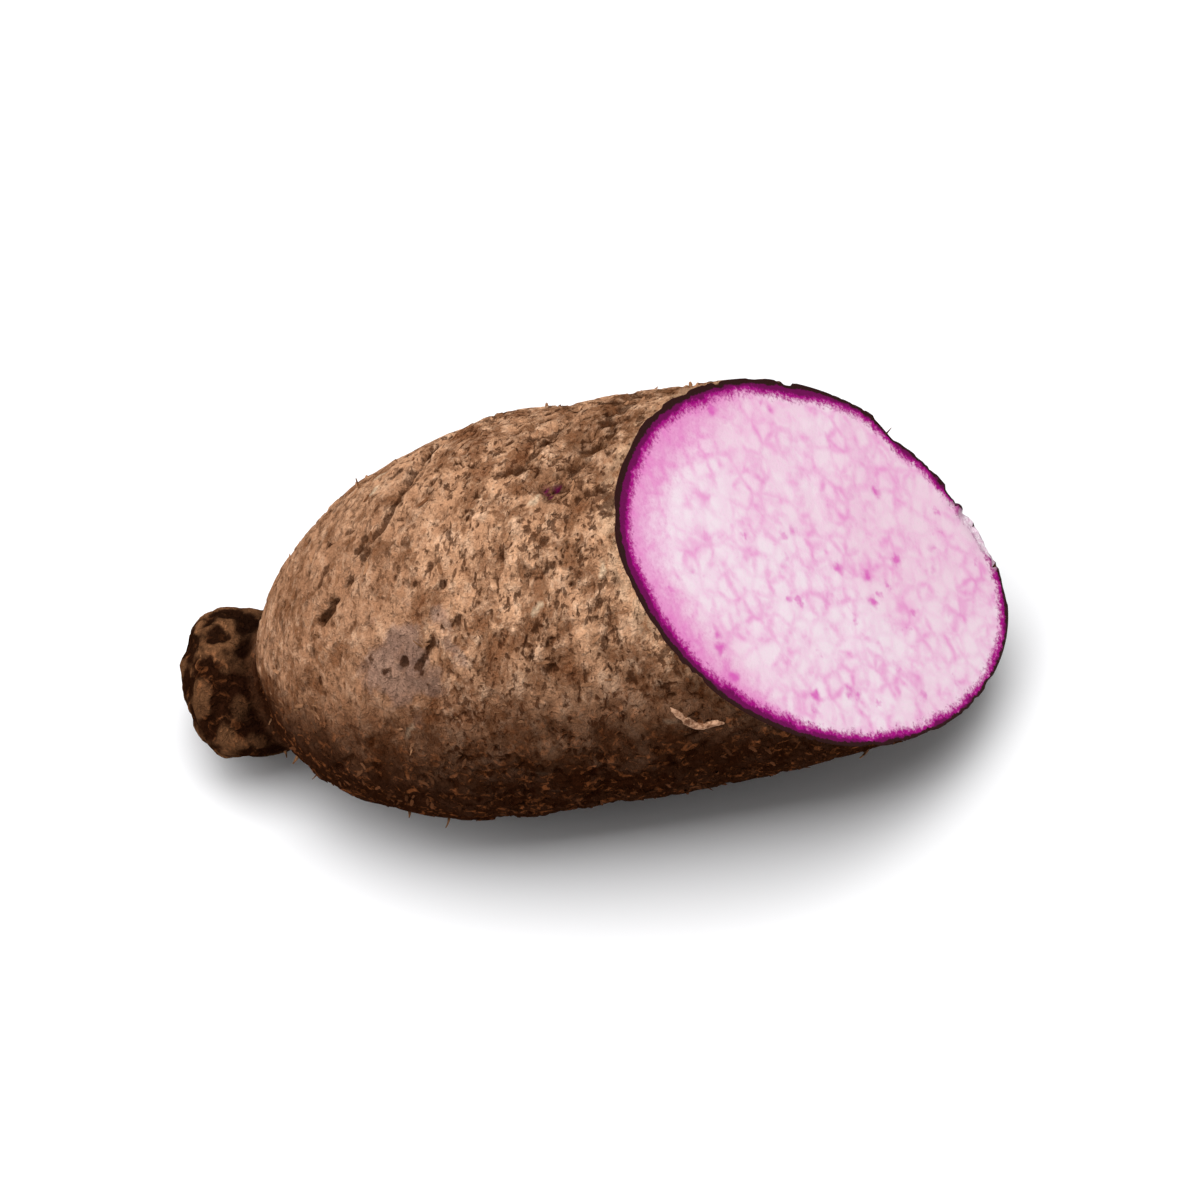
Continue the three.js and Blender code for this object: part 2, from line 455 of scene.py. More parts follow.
# The relief all over the skin, coarse to fine: lumps, knuckles, flaky plates with low
# crisp edges, cracks and pits drawn out along the grain, and fibres.
LUMP_SIZE, LUMP_RISE = 16, 0.6
KNUCKLE_SIZE, KNUCKLE_RISE = 6.0, 0.42
PLATE_SIZE, PLATE_RISE = 5.0, 0.45
CRACK_SIZE, CRACK_DEPTH = 3.6, 0.7
PIT_SPACING, PIT_RADIUS, PIT_DEPTH = 4.6, 0.75, 0.6
FIBRE_SIZE, FIBRE_RISE = 1.2, 0.13
BARK_SIZE, BARK_RISE = 5.5, 1.0
SKIN_SINK, RIM_SINK = 0.7, 0.15
FLAT_STATION, FLAT_TURN, FLAT_HALF_TURN = 144, 198, 10
FLAT_REACH, FLAT_DEPTH = 13, 2.2
KNOB_FLAT_WAY, KNOB_FLAT_DEPTH = np.array([-0.70, -0.54, -0.46]), 1.7
RIM_CALM = 3.0

to_cut = (cut_offset - form[..., 0] + CUT_LEAN * form[..., 1] - CUT_RISE * form[..., 2])
to_cut = to_cut * CUT_NORMAL[0] / np.linalg.norm(CUT_NORMAL)
calm = step_up(0, RIM_CALM, to_cut) * 0.6 + 0.4
lumps = LUMP_RISE * noise(form / LUMP_SIZE, 3) + KNUCKLE_RISE * noise(form / KNUCKLE_SIZE, 4)
plate_noise = noise(along_grain(0.8, 1.2) / PLATE_SIZE, 11) + 0.6 * noise(form / 1.8, 12)
plates = step_up(-0.10, 0.06, plate_noise + 0.35 * noise(form / 20, 13))
crack_bend = 0.4 * noise(form / 2.5, 22)[..., None]
crack_noise = np.abs(noise(along_grain(0.7, 1.4) / CRACK_SIZE + crack_bend, 21))
cracks = step_up(0.12, 0.0, crack_noise) * step_up(0.0, 0.35, noise(form / 8, 23))
pit_away, pit_pick = nearest_seed(along_grain(0.75, 1.3) / PIT_SPACING, 31)
pit_size = PIT_RADIUS / PIT_SPACING * (0.5 + 1.0 * pit_pick)
pits = step_up(1.3, 0.4, pit_away / pit_size + 0.4 * noise(form / 1.1, 32)) * (pit_pick > 0.35)
fibres = noise(along_grain(0.6, 2.2) / FIBRE_SIZE, 41)
bark = 0.5 + 1.1 * noise(form / BARK_SIZE, 61) + 0.5 * noise(form / 2.6, 62)

rugged = 0.55 + 0.45 * step_up(26, 42, station + 6 * noise(form / 9, 86))
skin_rise = lumps + (PLATE_RISE * plates + FIBRE_RISE * fibres) * (0.4 + 0.6 * rugged)
skin_rise -= (CRACK_DEPTH * cracks + PIT_DEPTH * pits) * calm * rugged + mark_depth
bark_rise = BARK_RISE * (np.clip(bark, -0.4, 1.2) - 0.6) + FIBRE_RISE * fibres
from_knob = form - KNOB_CENTRE
knob_facing = from_knob @ KNOB_FLAT_WAY / np.linalg.norm(from_knob, axis=-1)
bark_rise -= KNOB_FLAT_DEPTH * step_up(0.6, 1.0, knob_facing)
flat_line = slanting_line(FLAT_STATION, FLAT_TURN, -FLAT_HALF_TURN, FLAT_HALF_TURN)
skin_rise -= FLAT_DEPTH * step_up(FLAT_REACH, 0.15 * FLAT_REACH, away_from(flat_line))
skin_rise = skin_rise * (1 - on_knob) + on_knob * bark_rise
sink = RIM_SINK + (SKIN_SINK - RIM_SINK) * step_up(0, 10, to_cut)
skin_rise = np.minimum(skin_rise - sink, 0)

# Relief moves the skin straight out, but on the rim it stays in the plane of the cut.
SLOPE_STEP = 0.2
axis_steps = np.eye(3) * SLOPE_STEP
slope = [tuber_gap(form + step) - tuber_gap(form - step) for step in axis_steps]
outward = np.stack(slope, -1)
outward /= np.linalg.norm(outward, axis=-1, keepdims=True)
keep_plane = step_up(9, 0.5, to_cut)[..., None]
way = outward - keep_plane * ring_normal * (outward * ring_normal).sum(-1, keepdims=True)
way /= np.linalg.norm(way, axis=-1, keepdims=True)
skin_rise /= np.clip((way * outward).sum(axis=-1), 0.6, 1)
skin = form + way * skin_rise[..., None]

# The cut face: rings shrink from the rim to the middle of the oval, close together at
# first so that the edge stays crisp. A bit of the edge broke off as the knife left.
FACE_SHRINK = [0.993, 0.982, 0.968, 0.95, *np.linspace(0.92, 0.04, 19)]
FACE_RIPPLE = 0.10
CHIP_TURN, CHIP_REACH, CHIP_DEPTH = -42, 9, 1.3
RIM_BLUR = 8

rim = skin[-1]
face_middle = rim.mean(axis=0)
cut_direction = CUT_NORMAL / np.linalg.norm(CUT_NORMAL)
face_right = np.cross((0.0, 0.0, 1.0), cut_direction)
face_right /= np.linalg.norm(face_right)
face_up = np.cross(cut_direction, face_right)
rim_turn = np.degrees(np.arctan2((rim - face_middle) @ face_up, (rim - face_middle) @ face_right))
face = face_middle + (rim - face_middle) * np.array(FACE_SHRINK)[:, None, None]
hull = rim[(np.arange(SIDES)[:, None] + np.arange(-RIM_BLUR, RIM_BLUR + 1)) % SIDES].mean(axis=1)
rim_tangent = np.roll(hull, -1, axis=0) - np.roll(hull, 1, axis=0)
rim_tangent /= np.linalg.norm(rim_tangent, axis=-1, keepdims=True)
rim_inward = np.cross(cut_direction, rim_tangent)
face_depth = np.abs(((rim - face) * rim_inward).sum(axis=-1))
hull_depth = np.abs(((hull - face) * rim_inward).sum(axis=-1))
face_depth += (hull_depth - face_depth) * step_up(0, 1.2, face_depth)
chip = np.exp(-((turn_between(rim_turn, CHIP_TURN) / CHIP_REACH) ** 2))
rim_chip = step_up(0.35, 0.75, chip + 0.5 * noise(rim / 1.8, 73))
chip = step_up(0.35, 0.75, chip + 0.5 * noise(face / 1.8, 73)) * step_up(3.2, 1.0, face_depth)
rim_drop = CHIP_DEPTH * rim_chip * step_up(6, 0.3, to_cut)
skin = skin - cut_direction * rim_drop[..., None]
ripple = noise(face / 9, 71) + 0.5 * noise(face / 3, 72) - 1.2
ripple = FACE_RIPPLE * ripple * step_up(0, 1.5, face_depth)
ripple -= CHIP_DEPTH * chip * (1 + 0.6 * noise(face / 0.9, 74))
face = face + cut_direction * ripple[..., None]

rings = np.concatenate([skin, face])
ends = [skin[0].mean(axis=0), face[-1].mean(axis=0)]
points = np.concatenate([rings.reshape(-1, 3), ends])
ring_count = len(rings)
ring, side = np.meshgrid(np.arange(ring_count - 1), np.arange(SIDES), indexing="ij")
here, next_side = ring * SIDES + side, ring * SIDES + (side + 1) % SIDES
quads = np.stack([here, here + SIDES, next_side + SIDES, next_side], -1).reshape(-1, 4)
side = np.arange(SIDES)
last = (ring_count - 1) * SIDES
tip_index = ring_count * SIDES
tip_fan = np.stack([np.full(SIDES, tip_index), side, (side + 1) % SIDES], -1)
middle_fan = np.stack([last + side, np.full(SIDES, tip_index + 1), last + (side + 1) % SIDES], -1)

# The frame has the knob's tip at the lowest X of the box, the middle of the body at the
# middle of its Y, and the belly on the table.
form_middle = (form[..., 1].min() + form[..., 1].max()) / 2
to_frame = np.array([cad_low.x / MM - KNOB_TIP, middle.y / MM - form_middle, cad_low.z / MM])
placed = (points + to_frame) * MM
placed[:, 2] = np.maximum(placed[:, 2], cad_low.z)

tuber_mesh = bpy.data.meshes.new("tuber")
faces = quads.tolist() + tip_fan.tolist() + middle_fan.tolist()
tuber_mesh.from_pydata(placed.tolist(), [], faces)
in_flesh = np.zeros(len(faces), dtype=np.int32)
in_flesh[SKIN_RINGS * SIDES:len(quads)] = 1
in_flesh[-SIDES:] = 1
tuber_mesh.polygons.foreach_set("material_index", in_flesh)
tuber_mesh.polygons.foreach_set("use_smooth", np.ones(len(faces), dtype=bool))


def point_values(name, on_skin, on_face):
    """Stores one number for each point of the tuber, for its materials to read."""
    values = np.concatenate([
        np.broadcast_to(on_skin, skin.shape[:2]).ravel(),
        np.broadcast_to(on_face, face.shape[:2]).ravel(),
        [np.ravel(on_skin)[0], np.ravel(on_face)[-1]],
    ])
    layer = tuber_mesh.attributes.new(name, "FLOAT", "POINT")
    layer.data.foreach_set("value", values.astype(np.float32))


# Where the skin is darkened, bloomed or scraped: painted shade on the underside and the low
# front flank, painted shade in the crevice round the knob's neck, a greyish bloom round the
# eye, and purple specks at the valley's foot. Pale scales lie all over, placed by the marks' seed.
UNDERSIDE_TURN, UNDERSIDE_FULL_SHADE, UNDERSIDE_NO_SHADE = 288, 62, 118
BLOOM_ALONG, BLOOM_AROUND = 8, 16
SCRAPE_COUNT, SCRAPE_DRIFT, SCRAPE_RADII = 3, (1.4, 2.4), (0.35, 0.65)
PALE_COUNT, PALE_LENGTH, PALE_WIDTH = 26, 2.6, 0.5
VALLEY_REACH = 9
NECK_SHADE_REACH = 7

# Turn away from the underside, made ragged by noise: the skin's colour gets painted shade there, and
# more flakes grow there.
from_underside = np.abs(turn_between(turn, UNDERSIDE_TURN)) + 7 * noise(form / 9, 81)
from_underside += 5 * noise(form / 3, 83)
bloom_along = (station - EYE_STATION) / BLOOM_ALONG
bloom_around = turn_between(turn, EYE_TURN) / BLOOM_AROUND
bloom_away = np.hypot(bloom_along, bloom_around) + 0.7 * noise(form / 6, 88)
scrape = np.zeros(station.shape)
for _ in range(SCRAPE_COUNT):
    foot = np.array(valley_line[0]) + mark_draw.normal(0, SCRAPE_DRIFT)
    away = away_from([foot, foot + (0, 1)]) / mark_draw.uniform(*SCRAPE_RADII)
    scrape = np.maximum(scrape, step_up(1.2, 0.6, away + 0.5 * wander))
pale = np.zeros(station.shape)
for _ in range(PALE_COUNT):
    headings = mark_draw.choice(MARK_HEADINGS) + mark_draw.normal(0, HEADING_SPREAD, 2)
    away = away_from(drawn_path(PALE_LENGTH, headings)) / PALE_WIDTH
    pale = np.maximum(pale, step_up(1.4, 0.5, away + 0.4 * wander))
rough = 1 - on_knob
bloom_skin = step_up(1.35, 0.55, bloom_away + 0.45 * noise(form / 4, 82))
point_values("plates", plates * rough, 0)
point_values("hollows", np.clip(cracks * 0.9 + pits, 0, 1) * calm * rugged * rough, 0)
point_values("rugged", rugged, 0)
point_values("pale", pale, 0)
# Painted shade: the skin is darkened in mottled patches along the valley.
valley_away = away_from(valley_line) + 3 * noise(form / 5, 87)
point_values("valley", step_up(VALLEY_REACH, 1.5, valley_away), 0)
point_values("stain", mark_stain * rough, 0)
point_values("knob", on_knob, 0)
point_values("bark", np.clip(bark, 0, 1.5), 0)
# Painted shade: the knob's side of the crevice round its neck, darkest next to the body.
point_values("neck_shade", on_knob * step_up(NECK_SHADE_REACH, 0.5, body_gap(form)), 0)
point_values("underside_shade", step_up(UNDERSIDE_NO_SHADE, UNDERSIDE_FULL_SHADE, from_underside), 0)
point_values("bloom", bloom_skin, 0)
point_values("scrape", scrape, 0)
point_values("to_rim_mm", np.minimum(to_cut, 50), 0)
point_values("depth_mm", 0, face_depth)
flaking = 0.25 + 0.7 * step_up(UNDERSIDE_NO_SHADE, UNDERSIDE_FULL_SHADE, from_underside) + 0.8 * np.clip(mark_stain, 0, 1)
flaking = flaking * step_up(0, 0.4, 0.25 + noise(form / 6, 84)) * (1 - bloom_skin) * rough * calm
flaking += 2.0 * step_up(1.6, 0.6, to_cut) * step_up(0.0, 0.3, noise(form / 7, 85))
point_values("flaking", np.clip(flaking, 0, 1), 0)
room = np.minimum((skin + to_frame) * MM - cad_low, np.array(cad_high) - (skin + to_frame) * MM)
point_values("room", room.min(axis=-1), 0)
point_values("chip", rim_chip * step_up(0.2, 0.05, to_cut), chip)

tuber = bpy.data.objects.new("tuber", tuber_mesh)
studio.collection.objects.link(tuber)
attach(tuber, "root")
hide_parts("yam_half")


class Port:
    """One output of a shader node, so that maths on it reads as plain arithmetic."""

    def __init__(self, tree, socket=None):
        self.tree = tree
        self.socket = socket

    def node(self, kind, inputs=None, output=0, **settings):
        """Adds a node: its settings first, then the values or links of its sockets."""
        made = self.tree.nodes.new("ShaderNode" + kind)
        for name, value in settings.items():
            setattr(made, name, value)
        for socket, value in (inputs or {}).items():
            if isinstance(value, Port):
                self.tree.links.new(value.socket, made.inputs[socket])
            else:
                made.inputs[socket].default_value = value
        return Port(self.tree, made.outputs[output])

    def maths(self, operation, first, second=0.0):
        return self.node("Math", {0: first, 1: second}, operation=operation)

    def __add__(self, other):
        return self.maths("ADD", self, other)

    def __sub__(self, other):
        return self.maths("SUBTRACT", self, other)

    def __rsub__(self, other):
        return self.maths("SUBTRACT", other, self)

    def __mul__(self, other):
        return self.maths("MULTIPLY", self, other)

    def __truediv__(self, other):
        return self.maths("DIVIDE", self, other)

    __radd__ = __add__
    __rmul__ = __mul__

    def clear_step(self, low, high):
        """0 below low, 1 above high and a smooth step between; low may be the larger."""
        inputs = {0: self, 1: low, 2: high, 3: 0.0, 4: 1.0}
        return self.node("MapRange", inputs, interpolation_type="SMOOTHSTEP")

    def mix(self, first, second):
        """First colour where this value is 0, second where it is 1."""
        sides = [(*c, 1) if isinstance(c, tuple) else c for c in (first, second)]
        inputs = {0: self, 6: sides[0], 7: sides[1]}
        return self.node("Mix", inputs, output=2, data_type="RGBA")

    def shade(self, colour):
        """The colour made darker or lighter by this value."""
        inputs = {0: 1.0, 6: colour, 7: self}
        return self.node("Mix", inputs, output=2, data_type="RGBA", blend_type="MULTIPLY")


def colour(red, green, blue):
    """A colour given as it looks on a screen, from 0 to 255, as scene light."""
    parts = [part / 255 for part in (red, green, blue)]
    return tuple(p / 12.92 if p < 0.04 else ((p + 0.055) / 1.055) ** 2.4 for p in parts)


class Finish(Port):
    """A new material, whose tree is fed from millimetres along the object's own axes."""

    def __init__(self, name, **shader_values):
        self.material = bpy.data.materials.new(name)
        self.material.use_nodes = True
        super().__init__(self.material.node_tree)
        self.shader = self.tree.nodes["Principled BSDF"]
        for socket, value in shader_values.items():
            self.shader.inputs[socket.replace("_", " ")].default_value = value
        place = self.node("TexCoord", output=3)
        self.place = self.node("VectorMath", {0: place, 3: 1 / MM}, operation="SCALE")

    def along_grain(self, across, along):
        inputs = {0: self.place, 2: grain_turn, 3: (across, along, along)}
        return self.node("Mapping", inputs, vector_type="TEXTURE")

    def speckle(self, size, detail=3, rough=0.55, warp=0.0, place=None, shift=0.0):
        """Noise around 0.5, with marks of about the given size in millimetres."""
        inputs = {0: place or self.place, "W": shift, "Scale": 0.5 / size, "Detail": detail}
        inputs.update({"Roughness": rough, "Distortion": warp})
        return self.node("TexNoise", inputs, noise_dimensions="4D")

    def drifted(self, size, reach):
        """The place moved about by soft noise, so that cells on it lose straight sides."""
        inputs = {0: self.place, "Scale": 0.5 / size, "Detail": 3.0}
        drift = self.node("TexNoise", inputs, output=1)
        drift = self.node("VectorMath", {0: drift, 1: (0.5,) * 3}, operation="SUBTRACT")
        drift = self.node("VectorMath", {0: drift, 3: reach}, operation="SCALE")
        return self.node("VectorMath", {0: self.place, 1: drift}, operation="ADD")

    def attribute(self, name):
        return self.node("Attribute", output=2, attribute_name=name)

    def feed(self, socket, value):
        self.tree.links.new(value.socket, self.shader.inputs[socket])

    def bump(self, height, depth):
        inputs = {"Strength": 1.0, "Distance": depth * MM, "Height": height}
        self.feed("Normal", self.node("Bump", inputs))


# The skin: dry cork, an even warm tan with brown smears, and dark in its pits, cracks and
# marks; greyish where it kept its bloom. Painted shade makes it almost black on the underside
# and darker along the valley and in the crevice round the knob's neck, and a painted
# highlight runs along the rim of the cut.
skin_finish = Finish("corky_skin", Roughness=0.95, Specular_IOR_Level=0.0)
grain = skin_finish.along_grain(0.9, 1.25)
rugged_part = skin_finish.attribute("rugged")
tone = skin_finish.speckle(15, 2)
mottle = skin_finish.speckle(1.4, 5, 0.68, place=grain)
smear = skin_finish.speckle(3.6, 8, 0.74, 0.4, grain, shift=2.0)
smear += 0.06 * (rugged_part - 1)
cluster = skin_finish.speckle(8, 2, shift=4.0)
speck = skin_finish.speckle(0.75, 4, 0.6, 0.3, grain, shift=3.0)
dash = skin_finish.speckle(0.9, 4, 0.62, 0.5, skin_finish.along_grain(0.6, 1.5), shift=5.0)
fibre = skin_finish.speckle(0.4, 3, 0.7, 0.0, skin_finish.along_grain(0.7, 1.8))
grit = skin_finish.speckle(0.22, 2, 0.6)
crumb = skin_finish.speckle(1.0, 4, 0.6, 0.8, shift=7.0)
plate_cover = skin_finish.attribute("plates")
hollow = skin_finish.attribute("hollows")
stain = skin_finish.attribute("stain")
knob_part = skin_finish.attribute("knob")
bark_rise = skin_finish.attribute("bark")
neck_shade = skin_finish.attribute("neck_shade")
underside_shade = skin_finish.attribute("underside_shade")
bloom = skin_finish.attribute("bloom")
scrape = skin_finish.attribute("scrape")
pale_scale = skin_finish.attribute("pale")
valley = skin_finish.attribute("valley")
to_rim = skin_finish.attribute("to_rim_mm")

specks = (speck + 0.6 * (cluster - 0.5)).clear_step(0.42, 0.36)
dashes = (dash + 0.5 * (0.5 - cluster)).clear_step(0.42, 0.35)
marks = specks.maths("MAXIMUM", specks, dashes) * (1 - 0.6 * bloom) * rugged_part
dark_edge = (hollow + 0.9 * (speck - 0.5)).clear_step(0.25, 0.65)
stained = (stain + 2.0 * (mottle - 0.5) + 1.6 * (speck - 0.5)).clear_step(0.30, 0.75)
tan = (tone + 0.4 * (rugged_part - 0.8)).clear_step(0.36, 0.64)
tan = tan.mix(colour(172, 127, 96), colour(200, 152, 117))
tan = (0.75 * rugged_part * mottle.clear_step(0.47, 0.62)).mix(tan, colour(224, 182, 149))
worn_with_painted_light = (0.30 * (1 - plate_cover)).mix(tan, colour(138, 90, 59))
worn_with_painted_light = (0.75 * smear.clear_step(0.47, 0.57)).mix(worn_with_painted_light, colour(132, 85, 55))
worn_with_painted_light = (0.75 * smear.clear_step(0.57, 0.63)).mix(worn_with_painted_light, colour(90, 51, 29))
# Painted shade: darker brown, mottled, along the valley.
worn_with_painted_light = (0.7 * valley * mottle.clear_step(0.66, 0.40)).mix(worn_with_painted_light, colour(98, 60, 36))
# Painted highlight: a pale mottled band on the skin along the rim of the cut.
rim_highlight = to_rim.clear_step(3.2, 0.8) * mottle.clear_step(0.42, 0.56)
worn_with_painted_light = (0.6 * rim_highlight).mix(worn_with_painted_light, colour(208, 168, 134))
bloom_edge = (bloom + 1.6 * (mottle - 0.5)).clear_step(0.20, 1.0)
bloomed = (0.7 * bloom_edge).mix(worn_with_painted_light, colour(155, 124, 109))
spotted = (0.75 * marks).mix(bloomed, colour(78, 44, 26))
dug = (0.85 * dark_edge).mix(spotted, colour(64, 34, 18))
dug = (0.85 * stained).mix(dug, colour(66, 36, 19))
dug = pale_scale.mix(dug, colour(216, 184, 152))
scraped = scrape.mix(dug, colour(96, 14, 62))
knob_bark = (bark_rise + 0.9 * (crumb - 0.5)).clear_step(0.35, 0.95)
knob_bark = knob_bark.mix(colour(38, 22, 13), colour(144, 100, 68))
covered = knob_part.mix(scraped, knob_bark)
# Painted shade: near black in the crevice round the knob's neck.
covered = (0.9 * neck_shade).mix(covered, colour(16, 9, 6))
# Painted shade on the underside and low front flank: first a warm brown tint, then near black with
# tan crumbs, fainter on the knob.
underside_warm_shade = 0.5 * underside_shade.clear_step(0.0, 0.5) * (1 - knob_part)
warm_shaded = underside_warm_shade.mix(covered, colour(112, 62, 32))
crumbs = crumb.clear_step(0.52, 0.66) * (1 - neck_shade)
shaded_underside = crumbs.mix(colour(43, 18, 7), colour(116, 66, 36))
shaded_underside = (underside_shade * (0.95 - 0.45 * knob_part)).mix(warm_shaded, shaded_underside)
worn_shade = 0.05 + 0.1 * rugged_part + 0.7 * fibre + 0.9 * grit
skin_finish.feed("Base Color", worn_shade.shade(shaded_underside))
height = 0.4 * speck.clear_step(0.30, 0.46) + 0.4 * dash.clear_step(0.30, 0.44)
height += 0.5 * mottle - 0.3 * smear.clear_step(0.47, 0.60) + 0.3 * fibre + 0.25 * grit
height += (0.35 + 0.4 * underside_shade) * crumb.clear_step(0.36, 0.66)
skin_finish.bump(height, 1.1)
tuber_mesh.materials.append(skin_finish.material)

# The flesh: pale starchy cells with faint magenta sap between them, deep purple under
# the skin, and the cut edge of the skin itself as a dark line round it.
flesh_finish = Finish("flesh", Roughness=0.6, Specular_IOR_Level=0.12)
net_place = flesh_finish.drifted(2.6, 2.0)
spot_drift = flesh_finish.drifted(1.2, 3.4)

CELL_SIZE, SAP_SPACING, SPOT_SPACING = 4.2, 2.8, 7
FACE_LEFT = tuple(face_up * 0.85 - face_right * 0.50)
FACE_LOW = tuple(-face_right * 0.95 - face_up * 0.3)

cell_walls = {0: net_place, "Scale": 1 / CELL_SIZE}
wide_net = flesh_finish.node("TexVoronoi", cell_walls, feature="DISTANCE_TO_EDGE")
from_cell = flesh_finish.node("TexVoronoi", {0: net_place, "Scale": 1 / SAP_SPACING}, feature="F1")
cloud = flesh_finish.speckle(3.4, 4, 0.6, shift=1.0)
drift = flesh_finish.speckle(20, 2, shift=2.0)
starch = flesh_finish.speckle(0.35, 3, 0.7)
blot = flesh_finish.speckle(2.2, 3, 0.55, shift=5.0)
depth = flesh_finish.attribute("depth_mm")
chipped = flesh_finish.attribute("chip")
centre = tuple((face_middle + to_frame).tolist())
from_middle = flesh_finish.node(
    "VectorMath", {0: flesh_finish.place, 1: centre}, operation="SUBTRACT"
)
ray = flesh_finish.node("VectorMath", {0: from_middle}, operation="NORMALIZE")
leftward = flesh_finish.node(
    "VectorMath", {0: ray, 1: FACE_LEFT}, output=1, operation="DOT_PRODUCT"
)
lowward = flesh_finish.node(
    "VectorMath", {0: ray, 1: FACE_LOW}, output=1, operation="DOT_PRODUCT"
)
# Spots of sap, one in some of the cells of a coarse net, and more of them low on the cut.
spot_away = flesh_finish.node("TexVoronoi", {0: spot_drift, "Scale": 1 / SPOT_SPACING})
spot_pick = flesh_finish.speckle(6, 1, shift=6.0)
low_share = lowward.clear_step(0.1, 0.9) * depth.clear_step(26, 9)
spots = spot_away.clear_step(0.30, 0.06) * (spot_pick + 0.22 * low_share).clear_step(0.50, 0.62)
blots = spots.maths("MAXIMUM", spots, 0.75 * blot.clear_step(0.64, 0.76))

veins = wide_net.clear_step(0.30, 0.0) * (0.25 + 0.75 * cloud.clear_step(0.38, 0.66))
veins += 0.40 * from_cell.clear_step(0.40, 0.80) * cloud.clear_step(0.34, 0.60)
ragged = depth - 0.9 * leftward + 2.2 * (flesh_finish.speckle(1.1, 4, 0.7) - 0.5)
ragged += 3.4 * (flesh_finish.speckle(4, 3, 0.6, shift=4.0) - 0.5)
stippled = ragged + 5.0 * (starch - 0.5)
pale = drift.clear_step(0.38, 0.62).mix(colour(232, 203, 217), colour(235, 217, 226))
pale = (0.4 * cloud.clear_step(0.46, 0.66)).mix(pale, colour(233, 188, 214))
inner = (0.62 * veins).mix(pale, colour(224, 142, 196))
blush_reach = 3.0 + 9.0 * leftward.clear_step(0.2, 1.0)
blush = (ragged / blush_reach + 0.9 * (starch - 0.5)).clear_step(1.2, 0.15)
inner = (0.75 * blush).mix(inner, colour(216, 108, 182))
inner = (0.85 * blots + 0.6 * (starch - 0.5)).mix(inner, colour(210, 84, 176))
inner = stippled.clear_step(3.8, 1.8).mix(inner, colour(160, 0, 122))
inner = (ragged + 1.5 * (starch - 0.5)).clear_step(1.9, 1.2).mix(inner, colour(104, 0, 76))
broken = starch.clear_step(0.35, 0.65).mix(colour(222, 186, 206), colour(250, 236, 243))
inner = (0.9 * chipped).mix(inner, broken)
edge_depth = depth + 1.4 * (flesh_finish.speckle(0.8, 3) - 0.5) + 0.8 * (starch - 0.5)
edge_depth += 1.2 * chipped - 0.35 * leftward
edged = edge_depth.clear_step(1.0, 0.7).mix(inner, colour(42, 12, 10))
flesh_finish.feed("Base Color", (0.90 + 0.20 * starch).shade(edged))
flesh_finish.bump(0.6 * starch + 0.3 * cloud, 0.14)
tuber_mesh.materials.append(flesh_finish.material)

# ---- Skin flakes ---------------------------------------------------------------------
# Loose scales of dry cork that stand a little off the skin, thickest on the underside and
# along the old marks. They are still attached by one edge, as on any dug tuber.

FLAKE_LENGTH, FLAKE_WIDTH, FLAKE_THICKNESS = 3.2, 1.0, 0.25
FLAKE_CURL = 0.45
FLAKE_ROOM = 0.6
FLAKES_PER_CM2 = 6.0
FLAKE_SEED = 5


class Tree:
    """A Geometry Nodes tree whose nodes are added by type, settings and sockets."""

    def __init__(self, name, **sizes):
        self.tree = bpy.data.node_groups.new(name, "GeometryNodeTree")
        interface = self.tree.interface
        interface.new_socket("Geometry", in_out="INPUT", socket_type="NodeSocketGeometry")
        interface.new_socket("Geometry", in_out="OUTPUT", socket_type="NodeSocketGeometry")
        self.sizes = sizes
        for size, value in sizes.items():
            kind = "NodeSocketInt" if isinstance(value, int) else "NodeSocketFloat"
            interface.new_socket(size, in_out="INPUT", socket_type=kind)
        self.given = self.tree.nodes.new("NodeGroupInput").outputs

    def node(self, kind, inputs=None, output=0, **settings):
        made = self.tree.nodes.new(kind)
        for name, value in settings.items():
            setattr(made, name, value)
        for socket, value in (inputs or {}).items():
            if isinstance(value, bpy.types.NodeSocket):
                self.tree.links.new(value, made.inputs[socket])
            else:
                made.inputs[socket].default_value = value
        return made.outputs[output]

    def maths(self, operation, first, second=0.0):
        return self.node("ShaderNodeMath", {0: first, 1: second}, operation=operation)

    def random(self, low, high, seed, kind="FLOAT"):
        """A random number or vector for each point; seed is a number of the tree's own."""
        inputs = {0: low, 1: high} if kind == "FLOAT_VECTOR" else {2: low, 3: high}
        output = 0 if kind == "FLOAT_VECTOR" else 1
        inputs[8] = self.maths("ADD", self.given["Seed"], seed)
        return self.node("FunctionNodeRandomValue", inputs, output, data_type=kind)

    def grow(self, name, skin_object, finish):
        """Realizes the tree on a copy of an object's mesh, and returns the new piece."""
        made = self.tree.nodes.new("NodeGroupOutput")
        real = self.node("GeometryNodeRealizeInstances", {0: self.result})
        dressed = self.node("GeometryNodeSetMaterial", {0: real, 2: finish.material})
        self.tree.links.new(dressed, made.inputs[0])
        carrier = bpy.data.objects.new(name + "_carrier", skin_object.data.copy())
        studio.collection.objects.link(carrier)
        growth = carrier.modifiers.new(name, "NODES")
        growth.node_group = self.tree
        for item in self.tree.interface.items_tree:
            if item.in_out == "INPUT" and item.name in self.sizes:
                growth[item.identifier] = self.sizes[item.name]
        depsgraph = bpy.context.evaluated_depsgraph_get()
        mesh = bpy.data.meshes.new_from_object(carrier.evaluated_get(depsgraph))
        mesh.name = name
        bpy.data.objects.remove(carrier)
        piece = bpy.data.objects.new(name, mesh)
        studio.collection.objects.link(piece)
        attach(piece, "root")
        return piece


